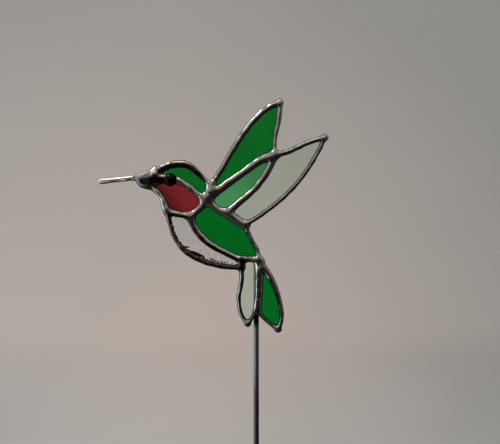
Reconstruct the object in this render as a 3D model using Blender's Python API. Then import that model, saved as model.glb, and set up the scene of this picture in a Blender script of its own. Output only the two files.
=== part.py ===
"""Garden stake with a stained-glass hummingbird, in metres, +Z up.

Nine panes of sheet glass are wrapped in copper foil and soldered edge to edge. The solder wets the
foil into one web: a rounded bead on both faces of every joint and round every free edge. A twisted
wire is soldered in as the bill, a black cabochon as the eye, and a steel rod behind the tail seam.

The bird is flat, in a plane parallel to XZ. It faces -Y, and its bill points to -X. The rod runs up
the Z axis from the ground line: the origin is the middle of the rod's flat lower end.
In the bird's own plane, u is millimetres along X from the rod, and v is millimetres above the fork
where the undertail and the tail part.
"""

import math

import bmesh
import bpy
import numpy as np

MM = 0.001
GAP = 0.3

ROD_DIAMETER = 3.175
ROD_SIDES = 28
FORK_HEIGHT = 200.0
ROD_ABOVE_FORK = 27.0

GLASS_THICKNESS = 3.0
GLASS_INSET = 0.75
GLASS_Y = -(ROD_DIAMETER / 2 + GAP + GLASS_THICKNESS / 2)

BEAD_HALF_DEPTH = 2.8
BEAD_SPREAD = 1.06
BEAD_SIDES = 8
BEAD_STEP = 4.4
POOL_EXTRA_DEPTH = 0.2
POOL_SIDES = 10
POOL_RINGS = 6
SQUARENESS = 3.0

SADDLE_WIDTH = 5.85
SADDLE_HALF_DEPTH = 2.5
SADDLE_Y = 1.8
SADDLE_LINE = ((0.3, 1.0), (0.2, 15.0), (0.1, 29.0))
CHANNEL_DEPTH_BELOW_FORK = 12.0

EYE_CENTRE = (-50.3, 78.0)
EYE_RADIUS = 3.65
EYE_HEIGHT = 3.4
EYE_BACK_Y = -2.1
EYE_SIDES = 24
EYE_SEAT_DEPTH = 4.0

BILL_ROOT = (-65.3, 79.4)
BILL_TIP = (-91.2, 76.55)
BILL_WIRE_RADIUS = 0.56
BILL_STRAND_OFFSET = 0.63
BILL_LOOP_LENGTH = 4.5
BILL_LOOP_OFFSET = 0.85
BILL_TWIST_PITCH = 9.7
BILL_WIRE_STEPS = 25
BILL_LOOP_STEPS = 7
BILL_SOCKET_LENGTH = 10.0
BILL_SOCKET_SIDES = 12

FINE_STEP = 1.0
OUTLINE_TOLERANCE = 0.06
CORNER_TOLERANCE = 0.02

# Where seams meet: u, v and the radius of the pool of solder there.
JUNCTIONS = {
    "bill": (-69.8, 78.5, 2.1),
    "brow": (-58.6, 82.8, 2.4),
    "gape": (-59.4, 78.0, 3.0),
    "gular": (-62.5, 73.8, 2.0),
    "nape": (-26.6, 74.3, 2.9),
    "shoulder": (-29.3, 66.2, 4.9),
    "chin": (-52.3, 59.0, 1.9),
    "breast": (-39.0, 56.4, 3.0),
    "wing_tip": (13.9, 123.2, 2.1),
    "wing_fork": (10.8, 92.2, 3.2),
    "rear_tip": (40.3, 102.7, 2.1),
    "wing_root": (-17.2, 58.2, 3.3),
    "wing_heel": (-6.6, 51.3, 3.0),
    "rump": (1.7, 30.0, 2.9),
    "vent": (-8.5, 30.6, 2.5),
    "belly_end": (-8.6, 26.5, 2.1),
    "under_tip": (-5.0, -7.0, 1.7),
    "fork": (0.4, 0.8, 2.6),
    "tail_tip": (12.9, -10.2, 2.0),
}

# Each seam: its two junctions, then the points that it bends through as u, v and bead width.
SEAMS = {
    "forehead": ("bill", "brow", ((-65.0, 80.9, 3.4),)),
    "bill_bar": ("bill", "gape", ((-66.0, 78.3, 5.8),)),
    "bill_base": ("bill", "gular", ((-66.3, 75.9, 3.0),)),
    "lore": ("brow", "gape", ((-58.6, 80.4, 5.4),)),
    "jaw": ("gape", "gular", ((-61.5, 75.9, 3.4),)),
    "crown": (
        "brow",
        "nape",
        (
            (-54.0, 85.2, 3.9),
            (-47.5, 87.3, 3.9),
            (-40.8, 87.0, 3.9),
            (-35.7, 83.5, 3.6),
            (-31.4, 78.8, 3.2),
        ),
    ),
    "cheek": (
        "gape",
        "shoulder",
        ((-53.0, 77.9, 5.7), (-46.5, 77.2, 4.9), (-41.0, 74.6, 4.1), (-35.0, 69.9, 3.7)),
    ),
    "throat": ("gular", "chin", ((-58.3, 70.2, 2.7), (-55.2, 65.6, 2.5))),
    "bib": ("chin", "breast", ((-45.5, 57.1, 3.9),)),
    "collar": ("breast", "shoulder", ((-33.9, 60.3, 4.4),)),
    "neck": ("shoulder", "nape", ((-27.9, 70.3, 5.0),)),
    "wing_front": (
        "nape",
        "wing_tip",
        ((-20.5, 83.9, 3.6), (-12.0, 98.4, 3.7), (-2.3, 111.7, 3.6), (7.0, 120.1, 3.6)),
    ),
    "wing_back": ("wing_tip", "wing_fork", ((13.3, 114.0, 3.3), (11.0, 102.0, 2.7))),
    "vane": ("shoulder", "wing_fork", ((-21.0, 72.6, 5.2), (-8.0, 81.9, 4.8), (3.5, 89.7, 5.2))),
    "quill": ("wing_root", "wing_fork", ((-10.0, 64.6, 4.4), (-0.5, 73.0, 4.1), (6.6, 82.9, 4.4))),
    "scapular": ("shoulder", "wing_root", ((-23.9, 61.2, 4.6),)),
    "wing_base": ("wing_root", "wing_heel", ((-12.2, 54.5, 5.6),)),
    "rear_front": ("wing_fork", "rear_tip", ((19.0, 94.4, 3.4), (30.0, 99.4, 3.2))),
    "rear_back": ("rear_tip", "wing_heel", ((34.0, 90.1, 2.8), (21.9, 73.4, 2.8), (7.4, 60.5, 2.8))),
    "back": ("wing_heel", "rump", ((-3.5, 43.6, 2.8), (0.2, 36.9, 2.8))),
    "flank": ("breast", "vent", ((-36.5, 50.3, 4.2), (-29.0, 41.4, 4.3), (-18.0, 35.0, 4.0))),
    "rump_bar": ("vent", "rump", ((-3.5, 31.2, 4.0),)),
    "vent_bar": ("vent", "belly_end", ((-8.6, 28.4, 3.6),)),
    "belly": (
        "chin",
        "belly_end",
        ((-50.7, 52.5, 2.8), (-45.4, 40.8, 2.8), (-34.9, 31.7, 3.6), (-21.0, 27.1, 3.2)),
    ),
    "under_back": ("belly_end", "under_tip", ((-8.6, 19.0, 3.0), (-10.3, 8.0, 2.7), (-8.7, -1.5, 2.5))),
    "under_front": ("under_tip", "fork", ((-2.3, -3.0, 2.3),)),
    "rod_seam": ("rump", "fork", ((1.7, 22.0, 5.4), (1.4, 10.0, 5.0))),
    "tail_front": ("fork", "tail_tip", ((6.6, -5.4, 2.4),)),
    "tail_back": ("tail_tip", "rump", ((14.8, -2.5, 2.9), (13.2, 8.0, 3.1), (8.8, 19.2, 3.8))),
}

# Each pane: the seams round it in order; a minus sign means that the seam is followed backwards.
PANES = {
    "crown_glass": ("crown", "-neck", "-cheek", "-lore"),
    "throat_glass": ("cheek", "-collar", "-bib", "-throat", "-jaw"),
    "belly_glass": ("bib", "flank", "vent_bar", "-belly"),
    "back_glass": ("collar", "scapular", "wing_base", "back", "-rump_bar", "-flank"),
    "upper_wing_glass": ("wing_front", "wing_back", "-vane", "neck"),
    "middle_wing_glass": ("vane", "-quill", "-scapular"),
    "rear_wing_glass": ("quill", "rear_front", "rear_back", "-wing_base"),
    "undertail_glass": ("rump_bar", "rod_seam", "-under_front", "-under_back", "-vent_bar"),
    "tail_glass": ("-rod_seam", "-tail_back", "-tail_front"),
}

# Linear colour of each kind of glass.
DEEP_GREEN = (0.001, 0.107, 0.010)
PALE_GREEN = (0.062, 0.178, 0.077)
SAGE = (0.28, 0.31, 0.24)
RUBY = (0.17, 0.016, 0.020)
CLEAR = (0.78, 0.79, 0.76)
PANE_COLOURS = {
    "crown_glass": DEEP_GREEN,
    "throat_glass": RUBY,
    "belly_glass": CLEAR,
    "back_glass": DEEP_GREEN,
    "upper_wing_glass": DEEP_GREEN,
    "middle_wing_glass": PALE_GREEN,
    "rear_wing_glass": SAGE,
    "undertail_glass": SAGE,
    "tail_glass": DEEP_GREEN,
}


def clear_scene():
    for obj in list(bpy.data.objects):
        bpy.data.objects.remove(obj, do_unlink=True)


def finish(name, colour, roughness, metallic=0.0, transmission=0.0):
    """A material with one Principled shader."""
    made = bpy.data.materials.new(name)
    made.use_nodes = True
    shader = made.node_tree.nodes["Principled BSDF"]
    shader.inputs["Base Color"].default_value = (*colour, 1.0)
    shader.inputs["Roughness"].default_value = roughness
    shader.inputs["Metallic"].default_value = metallic
    shader.inputs["Transmission Weight"].default_value = transmission
    return made


def in_place(points):
    """Points given as u, depth from the glass's middle, and v, in millimetres, as points of the scene."""
    points = np.asarray(points, float)
    return (points + (0.0, GLASS_Y, FORK_HEIGHT)) * MM


def smooth_curve(points, step):
    """A cubic curve through the points, read at even steps of its chord length."""
    points = np.array(points, float)
    runs = np.linalg.norm(np.diff(points[:, :2], axis=0), axis=1)
    knots = np.concatenate([[0.0], np.cumsum(runs)])
    slopes = np.gradient(points, knots, axis=0, edge_order=2)
    count = max(2, round(knots[-1] / step))
    at = np.linspace(0.0, knots[-1], count + 1)
    span = np.clip(np.searchsorted(knots, at, side="right") - 1, 0, len(runs) - 1)
    run = runs[span][:, None]
    t = (at[:, None] - knots[span][:, None]) / run
    start = points[span] * (1 + 2 * t) + slopes[span] * run * t
    end = points[span + 1] * (3 - 2 * t) - slopes[span + 1] * run * (1 - t)
    return start * (1 - t) ** 2 + end * t**2


def seam_line(name, step):
    """The middle of a seam from junction to junction: rows of u, v and bead width."""
    first, last, bends = SEAMS[name]
    start = (*JUNCTIONS[first][:2], bends[0][2])
    end = (*JUNCTIONS[last][:2], bends[-1][2])
    return smooth_curve([start, *bends, end], step)


def squared(angles):
    """The unit superellipse at these angles: its cosine and sine, pushed outwards by SQUARENESS."""
    power = 2 / SQUARENESS
    cosine = np.sign(np.cos(angles)) * np.abs(np.cos(angles)) ** power
    sine = np.sign(np.sin(angles)) * np.abs(np.sin(angles)) ** power
    return cosine, sine


def add_tube(mesh, rings):
    """A closed tube through equal rings of points, in millimetres, with flat ends."""
    rows = [[mesh.verts.new(point) for point in in_place(ring)] for ring in rings]
    sides = len(rows[0])
    for row, after in zip(rows, rows[1:]):
        for k in range(sides):
            following = (k + 1) % sides
            mesh.faces.new((row[k], row[following], after[following], after[k]))
    mesh.faces.new(rows[0][::-1])
    mesh.faces.new(rows[-1])


def add_bead(mesh, line, half_depth, middle_y=0.0):
    """A solder bead along a line of u, v and width, with a rounded-square section."""
    angles = np.arange(BEAD_SIDES) * 2 * math.pi / BEAD_SIDES
    across, deep = squared(angles)
    heading = np.gradient(line[:, :2], axis=0)
    heading /= np.linalg.norm(heading, axis=1)[:, None]
    side = np.stack([-heading[:, 1], heading[:, 0]], axis=1)
    reach = line[:, 2:] / 2 * BEAD_SPREAD * across
    ring_u = line[:, :1] + side[:, :1] * reach
    ring_v = line[:, 1:2] + side[:, 1:] * reach
    ring_y = np.broadcast_to(middle_y + half_depth * deep, ring_u.shape)
    add_tube(mesh, np.stack([ring_u, ring_y, ring_v], axis=2))


def add_pool(mesh, u, v, radius, half_depth):
    """A pool of solder at a junction: a ball with a rounded-square section, its poles front and back."""
    ball = bmesh.ops.create_uvsphere(mesh, u_segments=POOL_SIDES, v_segments=POOL_RINGS, radius=1.0)
    made = ball["verts"]
    directions = np.array([vert.co for vert in made])
    latitude = np.arcsin(np.clip(directions[:, 2], -1.0, 1.0))
    out, depth = squared(latitude)
    longitude = np.arctan2(directions[:, 1], directions[:, 0])
    across = u + radius * out * np.cos(longitude)
    upward = v + radius * out * np.sin(longitude)
    placed = in_place(np.stack([across, -half_depth * depth, upward], axis=1))
    for vert, point in zip(made, placed):
        vert.co = point


def thinned(outline, tolerance):
    """The points of an open line that keep it within a tolerance, halved at its farthest point."""
    first, last = outline[0], outline[-1]
    along = last - first
    offset = outline - first
    length = np.linalg.norm(along)
    away = np.abs(offset[:, 0] * along[1] - offset[:, 1] * along[0]) / length
    farthest = int(np.argmax(away))
    if away[farthest] < tolerance:
        return [first, last]
    return thinned(outline[: farthest + 1], tolerance)[:-1] + thinned(outline[farthest:], tolerance)


def pane_outline(name, inset):
    """The loop of a pane's seams, moved inwards; points that a sharp corner folds back are left out."""
    loop = []
    for seam in PANES[name]:
        line = seam_line(seam.lstrip("-"), FINE_STEP)[:, :2]
        loop.append(line[::-1][:-1] if seam.startswith("-") else line[:-1])
    loop = np.concatenate(loop)
    ends = np.roll(loop, -1, axis=0)
    turning = np.sum(loop[:, 0] * ends[:, 1] - ends[:, 0] * loop[:, 1])
    heading = ends - np.roll(loop, 1, axis=0)
    heading *= np.sign(turning) / np.linalg.norm(heading, axis=1)[:, None]
    moved = loop + inset * np.stack([-heading[:, 1], heading[:, 0]], axis=1)
    edge = ends - loop
    share = np.sum((moved[:, None] - loop) * edge, axis=2) / np.sum(edge * edge, axis=1)
    nearest = loop + np.clip(share, 0.0, 1.0)[:, :, None] * edge
    room = np.linalg.norm(moved[:, None] - nearest, axis=2).min(axis=1)
    moved = moved[room > inset - CORNER_TOLERANCE]
    half = len(moved) // 2
    outline = thinned(moved[: half + 1], OUTLINE_TOLERANCE)[:-1]
    return outline + thinned(np.concatenate([moved[half:], moved[:1]]), OUTLINE_TOLERANCE)[:-1]


def add_plate(mesh, outline, thickness):
    """A flat plate of this outline, centred on the glass's middle."""
    front = [(u, -thickness / 2, v) for u, v in outline]
    back = [(u, thickness / 2, v) for u, v in outline]
    add_tube(mesh, [front, back])


def add_round_bar(mesh, start, end, radius, sides):
    """A round bar between two points given as u, depth and v."""
    start, end = np.array(start, float), np.array(end, float)
    axis = (end - start) / np.linalg.norm(end - start)
    first = np.cross(axis, (0.0, 1.0, 0.0) if abs(axis[1]) < 0.9 else (1.0, 0.0, 0.0))
    first /= np.linalg.norm(first)
    second = np.cross(axis, first)
    angles = np.arange(sides)[:, None] * 2 * math.pi / sides
    ring = radius * (np.cos(angles) * first + np.sin(angles) * second)
    add_tube(mesh, [start + ring, end + ring])


def as_object(name, mesh, material=None):
    """The finished mesh as an object, with its faces pointing out."""
    bmesh.ops.recalc_face_normals(mesh, faces=mesh.faces)
    data = bpy.data.meshes.new(name)
    mesh.to_mesh(data)
    mesh.free()
    made = bpy.data.objects.new(name, data)
    bpy.context.scene.collection.objects.link(made)
    if material:
        data.materials.append(material)
    return made


def shade_round(obj, degrees):
    obj.data.shade_smooth()
    obj.data.set_sharp_from_angle(angle=math.radians(degrees))


def rod_y():
    """How far the rod's axis lies behind the glass's middle."""
    return -GLASS_Y


def build_web_cutter():
    """What the solder web leaves room for: the panes, the rod, the eye's seat and the bill's socket."""
    mesh = bmesh.new()
    for pane in PANES:
        add_plate(mesh, pane_outline(pane, GLASS_INSET - GAP), GLASS_THICKNESS + 2 * GAP)
    channel = ROD_DIAMETER / 2 + GAP
    channel_foot = (0, rod_y(), -CHANNEL_DEPTH_BELOW_FORK)
    add_round_bar(mesh, channel_foot, (0, rod_y(), ROD_ABOVE_FORK + GAP), channel, ROD_SIDES)
    u, v = EYE_CENTRE
    seat_y = EYE_BACK_Y + GAP
    add_round_bar(mesh, (u, seat_y, v), (u, seat_y - EYE_SEAT_DEPTH, v), EYE_RADIUS + GAP, EYE_SIDES)
    root, along, _ = bill_line()
    socket = BILL_WIRE_RADIUS + BILL_STRAND_OFFSET + GAP
    add_round_bar(mesh, root - along * GAP, root + along * BILL_SOCKET_LENGTH, socket, BILL_SOCKET_SIDES)
    cutter = as_object("web_cutter", mesh)
    cutter.hide_render = True
    cutter.display_type = "WIRE"
    return cutter


def build_web(cutter):
    """Beads along every seam, pools where they meet, and the saddle behind the rod seam, made one."""
    mesh = bmesh.new()
    for seam in SEAMS:
        add_bead(mesh, seam_line(seam, BEAD_STEP), BEAD_HALF_DEPTH)
    for u, v, radius in JUNCTIONS.values():
        add_pool(mesh, u, v, radius, BEAD_HALF_DEPTH + POOL_EXTRA_DEPTH)
    saddle = smooth_curve([(u, v, SADDLE_WIDTH) for u, v in SADDLE_LINE], BEAD_STEP)
    add_bead(mesh, saddle, SADDLE_HALF_DEPTH, SADDLE_Y)
    web = as_object("solder_web", mesh, finish("polished solder", (0.42, 0.39, 0.36), 0.22, metallic=1.0))
    cut = web.modifiers.new("fuse and cut", "BOOLEAN")
    cut.operation = "DIFFERENCE"
    cut.solver = "EXACT"
    cut.use_self = True
    cut.object = cutter
    return web


def build_panes():
    for name, colour in PANE_COLOURS.items():
        mesh = bmesh.new()
        add_plate(mesh, pane_outline(name, GLASS_INSET), GLASS_THICKNESS)
        pane = as_object(name, mesh, finish(name, colour, 0.05, transmission=1.0))
        shade_round(pane, 40)


def build_eye():
    """A black cabochon: half a ball, a little flattened, with a flat back."""
    mesh = bmesh.new()
    ball = bmesh.ops.create_uvsphere(mesh, u_segments=EYE_SIDES, v_segments=EYE_SIDES // 2, radius=1.0)
    below = [vert for vert in ball["verts"] if vert.co.z < -0.01]
    bmesh.ops.delete(mesh, geom=below, context="VERTS")
    rim = [edge for edge in mesh.edges if edge.is_boundary]
    bmesh.ops.contextual_create(mesh, geom=rim)
    u, v = EYE_CENTRE
    shape = np.array([vert.co for vert in mesh.verts])
    across = u + EYE_RADIUS * shape[:, 0]
    forward = EYE_BACK_Y - EYE_HEIGHT * shape[:, 2]
    upward = v + EYE_RADIUS * shape[:, 1]
    for vert, point in zip(mesh.verts, in_place(np.stack([across, forward, upward], axis=1))):
        vert.co = point
    eye = as_object("eye_bead", mesh, finish("black glass", (0.004, 0.004, 0.004), 0.06))
    shade_round(eye, 50)


def bill_line():
    """The bill's root, the direction to its tip and its length."""
    root = np.array((BILL_ROOT[0], 0.0, BILL_ROOT[1]))
    tip = np.array((BILL_TIP[0], 0.0, BILL_TIP[1]))
    length = np.linalg.norm(tip - root)
    return root, (tip - root) / length, length


def bill_path():
    """The wire's middle: up one strand of the twist, round the loop at the tip and down the other."""
    root, along, length = bill_line()
    upward = np.array((along[2], 0.0, -along[0]))
    outward = np.array((0.0, -1.0, 0.0))
    twisted = length - BILL_LOOP_LENGTH
    distance = np.linspace(0.0, length, BILL_WIRE_STEPS)
    left = np.clip(twisted - distance, 0.0, None)
    turn = left * 2 * math.pi / BILL_TWIST_PITCH
    opening = np.clip((distance - twisted) / BILL_LOOP_LENGTH, 0.0, 1.0)
    offset = BILL_STRAND_OFFSET + (BILL_LOOP_OFFSET - BILL_STRAND_OFFSET) * opening
    sideways = offset[:, None] * (np.cos(turn)[:, None] * upward + np.sin(turn)[:, None] * outward)
    middle = root + distance[:, None] * along
    bend = np.linspace(0.0, math.pi, BILL_LOOP_STEPS)[1:-1, None]
    loop = middle[-1] + BILL_LOOP_OFFSET * (np.cos(bend) * upward + np.sin(bend) * along)
    return np.concatenate([middle + sideways, loop, (middle - sideways)[::-1]])


def build_bill():
    """One wire folded double and twisted, as a beveled curve."""
    points = in_place(bill_path())
    data = bpy.data.curves.new("beak_wire", "CURVE")
    data.dimensions = "3D"
    data.bevel_depth = BILL_WIRE_RADIUS * MM
    data.bevel_resolution = 1
    data.use_fill_caps = True
    spline = data.splines.new("POLY")
    spline.points.add(len(points) - 1)
    for knot, point in zip(spline.points, points):
        knot.co = (*point, 1.0)
    data.materials.append(finish("tinned brass wire", (0.55, 0.44, 0.30), 0.25, metallic=1.0))
    wire = bpy.data.objects.new("beak_wire", data)
    bpy.context.scene.collection.objects.link(wire)


def build_rod():
    mesh = bmesh.new()
    foot = (0, rod_y(), -FORK_HEIGHT)
    add_round_bar(mesh, foot, (0, rod_y(), ROD_ABOVE_FORK), ROD_DIAMETER / 2, ROD_SIDES)
    rod = as_object("stake_rod", mesh, finish("bright steel", (0.12, 0.14, 0.15), 0.3, metallic=1.0))
    shade_round(rod, 40)


def main():
    clear_scene()
    web = build_web(build_web_cutter())
    shade_round(web, 50)
    build_panes()
    build_eye()
    build_bill()
    build_rod()


main()
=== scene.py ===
"""Looks of the garden stake: a stained-glass hummingbird in soldered copper foil on a steel rod.

The bird lies flat in a plane parallel to XZ. In that plane u is millimetres along X from the rod's
axis, and v is millimetres above the fork of the tail. Depth is millimetres behind the glass's
middle, so the front faces lie at negative depths.
"""

import math

import bmesh
import bpy
import numpy as np
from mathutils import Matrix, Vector
from mathutils.geometry import delaunay_2d_cdt


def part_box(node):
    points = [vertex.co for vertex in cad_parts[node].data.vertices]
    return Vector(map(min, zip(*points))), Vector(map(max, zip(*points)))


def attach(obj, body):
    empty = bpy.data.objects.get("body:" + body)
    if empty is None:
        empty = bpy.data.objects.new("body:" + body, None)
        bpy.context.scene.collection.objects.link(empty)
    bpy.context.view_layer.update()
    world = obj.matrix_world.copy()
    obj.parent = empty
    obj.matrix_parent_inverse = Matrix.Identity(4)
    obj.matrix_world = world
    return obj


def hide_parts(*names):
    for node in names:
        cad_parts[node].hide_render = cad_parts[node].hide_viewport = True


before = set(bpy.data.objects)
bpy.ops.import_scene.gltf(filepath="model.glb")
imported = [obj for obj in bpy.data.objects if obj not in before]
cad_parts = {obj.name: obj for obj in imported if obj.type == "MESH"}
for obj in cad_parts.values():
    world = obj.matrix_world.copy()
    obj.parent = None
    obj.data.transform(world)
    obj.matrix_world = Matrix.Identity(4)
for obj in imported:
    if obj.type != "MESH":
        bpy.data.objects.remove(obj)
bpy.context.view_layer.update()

MM = 0.001

ROD_LOW, ROD_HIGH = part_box("stake_rod")
ROD_RADIUS = (ROD_HIGH.x - ROD_LOW.x) / 2 / MM
ROD_ABOVE_FORK = 27.0
GLASS_LOW, GLASS_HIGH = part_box("belly_glass")
GLASS_HALF = (GLASS_HIGH.y - GLASS_LOW.y) / 2 / MM
ORIGIN = Vector(
    ((ROD_LOW.x + ROD_HIGH.x) / 2, (GLASS_LOW.y + GLASS_HIGH.y) / 2, ROD_HIGH.z - ROD_ABOVE_FORK * MM)
)
ROD_DEPTH = ((ROD_LOW.y + ROD_HIGH.y) / 2 - ORIGIN.y) / MM

# Where seams meet: u, v and the radius of the pool of solder there.
JUNCTIONS = {
    "bill": (-69.4, 78.6, 1.6),
    "brow": (-58.6, 82.8, 2.4),
    "gape": (-59.4, 78.0, 3.0),
    "gular": (-63.1, 74.1, 1.6),
    "nape": (-26.6, 74.3, 2.9),
    "shoulder": (-29.3, 66.2, 4.9),
    "chin": (-52.3, 59.0, 1.9),
    "breast": (-39.0, 56.4, 3.0),
    "wing_tip": (13.9, 123.2, 2.1),
    "wing_fork": (10.8, 92.2, 3.2),
    "rear_tip": (40.3, 102.7, 2.1),
    "wing_root": (-17.2, 58.2, 3.3),
    "wing_heel": (-6.6, 51.3, 3.0),
    "rump": (1.7, 30.0, 2.9),
    "vent": (-8.5, 30.6, 2.5),
    "belly_end": (-8.6, 26.5, 2.1),
    "under_tip": (-5.0, -7.0, 1.7),
    "fork": (0.4, 0.8, 2.6),
    "tail_tip": (12.9, -10.2, 2.0),
}

# Each seam: its two junctions, then the points that it bends through as u, v and bead width.
SEAMS = {
    "forehead": ("bill", "brow", (-65.0, 80.9, 3.4)),
    "bill_bar": ("bill", "gape", (-66.0, 78.3, 5.8)),
    "bill_base": ("bill", "gular", (-66.8, 74.9, 4.0)),
    "lore": ("brow", "gape", (-58.6, 80.4, 5.4)),
    "jaw": ("gape", "gular", (-62.2, 76.1, 2.4)),
    "crown": (
        "brow", "nape",
        (-54.0, 84.9, 4.5), (-47.5, 86.9, 4.7), (-40.9, 86.5, 4.6), (-35.9, 83.2, 4.1), (-31.4, 78.8, 3.2),
    ),
    "cheek": (
        "gape", "shoulder",
        (-53.0, 77.9, 5.7), (-46.5, 77.2, 4.9), (-41.0, 74.6, 4.1), (-35.0, 69.9, 3.7),
    ),
    "throat": (
        "gular", "chin",
        (-60.9, 72.5, 2.6), (-58.1, 70.4, 3.2), (-54.9, 66.0, 3.3), (-53.8, 62.9, 4.2),
    ),
    "bib": ("chin", "breast", (-45.5, 57.5, 3.9)),
    "collar": ("breast", "shoulder", (-33.9, 60.3, 4.4)),
    "neck": ("shoulder", "nape", (-27.9, 70.3, 5.0)),
    "wing_front": (
        "nape", "wing_tip",
        (-20.5, 83.9, 3.6), (-12.0, 98.4, 3.7), (-2.3, 111.7, 3.6), (7.0, 120.1, 3.6),
    ),
    "wing_back": ("wing_tip", "wing_fork", (13.3, 114.0, 3.3), (11.0, 102.0, 2.7)),
    "vane": ("shoulder", "wing_fork", (-21.0, 72.6, 5.2), (-8.0, 81.9, 4.8), (3.5, 89.7, 5.2)),
    "quill": ("wing_root", "wing_fork", (-10.0, 64.6, 4.4), (-0.5, 73.0, 4.1), (6.6, 82.9, 4.4)),
    "scapular": ("shoulder", "wing_root", (-23.9, 61.2, 4.6)),
    "wing_base": ("wing_root", "wing_heel", (-12.2, 54.5, 5.6)),
    "rear_front": ("wing_fork", "rear_tip", (19.0, 94.4, 3.4), (30.0, 99.4, 3.2)),
    "rear_back": ("rear_tip", "wing_heel", (34.0, 90.1, 2.8), (21.9, 73.4, 2.8), (7.4, 60.5, 2.8)),
    "back": ("wing_heel", "rump", (-3.5, 43.6, 2.8), (0.2, 36.9, 2.8)),
    "flank": ("breast", "vent", (-36.5, 50.3, 4.2), (-29.0, 41.4, 4.3), (-18.0, 35.0, 4.0)),
    "rump_bar": ("vent", "rump", (-3.5, 31.2, 4.0)),
    "vent_bar": ("vent", "belly_end", (-8.6, 28.4, 3.6)),
    "belly": (
        "chin", "belly_end",
        (-50.9, 52.5, 2.8), (-46.6, 41.6, 2.8), (-43.4, 37.2, 3.0), (-34.9, 31.7, 3.6), (-21.0, 27.1, 3.2),
    ),
    "under_back": ("belly_end", "under_tip", (-8.6, 19.0, 3.0), (-10.3, 8.0, 2.7), (-8.7, -1.5, 2.5)),
    "under_front": ("under_tip", "fork", (-2.3, -3.0, 2.3)),
    "rod_seam": ("rump", "fork", (1.7, 22.0, 5.4), (1.4, 10.0, 5.0)),
    "tail_front": ("fork", "tail_tip", (6.6, -5.4, 2.4)),
    "tail_back": ("tail_tip", "rump", (14.8, -2.5, 2.9), (13.2, 8.0, 3.1), (8.8, 19.2, 3.8)),
}

# Each pane, and the bird's own edge: the seams round it in order; a minus sign follows one backwards.
PANES = {
    "crown_glass": "crown -neck -cheek -lore",
    "throat_glass": "cheek -collar -bib -throat -jaw",
    "belly_glass": "bib flank vent_bar -belly",
    "back_glass": "collar scapular wing_base back -rump_bar -flank",
    "upper_wing_glass": "wing_front wing_back -vane neck",
    "middle_wing_glass": "vane -quill -scapular",
    "rear_wing_glass": "quill rear_front rear_back -wing_base",
    "undertail_glass": "rump_bar rod_seam -under_front -under_back -vent_bar",
    "tail_glass": "-rod_seam -tail_back -tail_front",
}
BIRD_EDGE = (
    "forehead crown wing_front wing_back rear_front rear_back back "
    "-tail_back -tail_front -under_front -under_back -belly -throat -bill_base"
)

# Solder: how its edge runs, in millimetres. A level is how far outside the solder a line lies.
SEAM_STEP = 1.0
SEAM_REACH = 9.0
CORNER_SLACK = 0.05
FILLET_SOFTNESS = 0.6
POOL_TRIM = 0.45
EDGE_WANDER = ((6.5, 0.055), (2.2, 0.022))
SLOPE_STEP = 0.02
LONGEST_MOVE = 0.6
FOIL_LEVEL = -0.10
BEAD_LEVEL = -0.46
HOLLOW_FADE = 0.4
LOOP_STEP = 0.36
LATTICE_STEP = 0.42
LATTICE_LEVEL = -0.80
RIM_START = -1.8
PANE_START = 2.3
RIM_RINGS = (0.04, 0.15, 0.34, 0.58)
GLASS_CLEARANCE = 0.02
FOIL_THICKNESS = 0.05
FOIL_WALL = 0.62

# Solder: how high it stands. Each ripple has its length and its size; each lump its u, v, reach and rise.
FOIL_TOP = GLASS_HALF + GLASS_CLEARANCE + FOIL_THICKNESS
SPREAD_LENGTH = 2.2
FULL_HEIGHT = 4.0
PLAIN_WIDTH = 4.0
NARROW_HELP = (0.45, 1.7)
SKIN_ROUNDS = 2000
SKIN_ERROR = 1e-12
RIPPLES = ((7.0, 0.060), (2.7, 0.014), (1.1, 0.004))
RIPPLE_FADE = 0.7
LUMPS = (
    (-60.4, 80.9, 1.9, 0.85),
    (-29.0, 67.0, 2.6, 0.30),
    (-27.8, 70.8, 0.9, 0.25),
    (-23.7, 78.6, 0.9, 0.22),
    (0.2, 114.4, 1.0, 0.25),
    (8.8, 121.6, 1.3, 0.30),
    (39.6, 102.9, 1.2, 0.25),
    (15.2, 93.4, 0.9, 0.18),
    (19.6, 95.2, 1.0, 0.20),
    (23.4, 97.0, 0.8, 0.18),
    (28.8, 99.2, 0.9, 0.20),
    (1.2, 25.3, 0.9, 0.22),
    (-11.8, 66.0, 0.8, 0.20),
    (-15.0, 62.3, 0.9, 0.22),
    (-3.0, 55.8, 0.8, 0.20),
    (0.8, 7.0, 0.9, 0.22),
)

# Where the solder is painted dark brown, partly for tarnish and partly as painted shade: whole seams and
# their strength, and strokes. Each stroke has its reach, its strength and the u and v that it runs through.
TARNISH_AND_SHADE_REACH = 3.0
# On whole seams the brown is partly tarnish and partly painted shade; on under_back and rump_bar it dims
# their highlights as painted shade.
TARNISHED_AND_SHADED_SEAMS = {
    "belly": 0.62,
    "vent_bar": 0.7,
    "jaw": 0.5,
    "under_back": 0.42,
    "under_front": 0.4,
    "rump_bar": 0.38,
}
# Every stroke is painted shade: it darkens the bar from bill to eye, the crown's lower half, the bib's lower
# half, the flank's lower edge, the tail's back seam and the rod seam's left side.
PAINTED_SHADE_STROKES = (
    (2.5, 1.0, ((-66.3, 76.8), (-61.0, 77.4), (-52.5, 77.8))),
    (2.3, 1.0, (
        (-56.3, 82.5), (-52.2, 85.1), (-46.8, 86.2), (-41.7, 86.0),
        (-37.6, 84.2), (-33.9, 80.6), (-31.2, 76.8),
    )),
    (1.5, 0.9, ((-50.3, 57.2), (-45.5, 55.8), (-41.0, 55.2))),
    (1.7, 0.85, ((-40.6, 55.2), (-37.7, 49.6), (-30.1, 40.5), (-18.7, 33.8), (-10.5, 30.0))),
    (1.5, 0.85, ((12.9, -1.5), (12.0, 8.0), (7.7, 18.2))),
    (1.4, 0.42, ((0.3, 25.0), (0.1, 12.0), (0.0, 5.0))),
)

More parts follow.
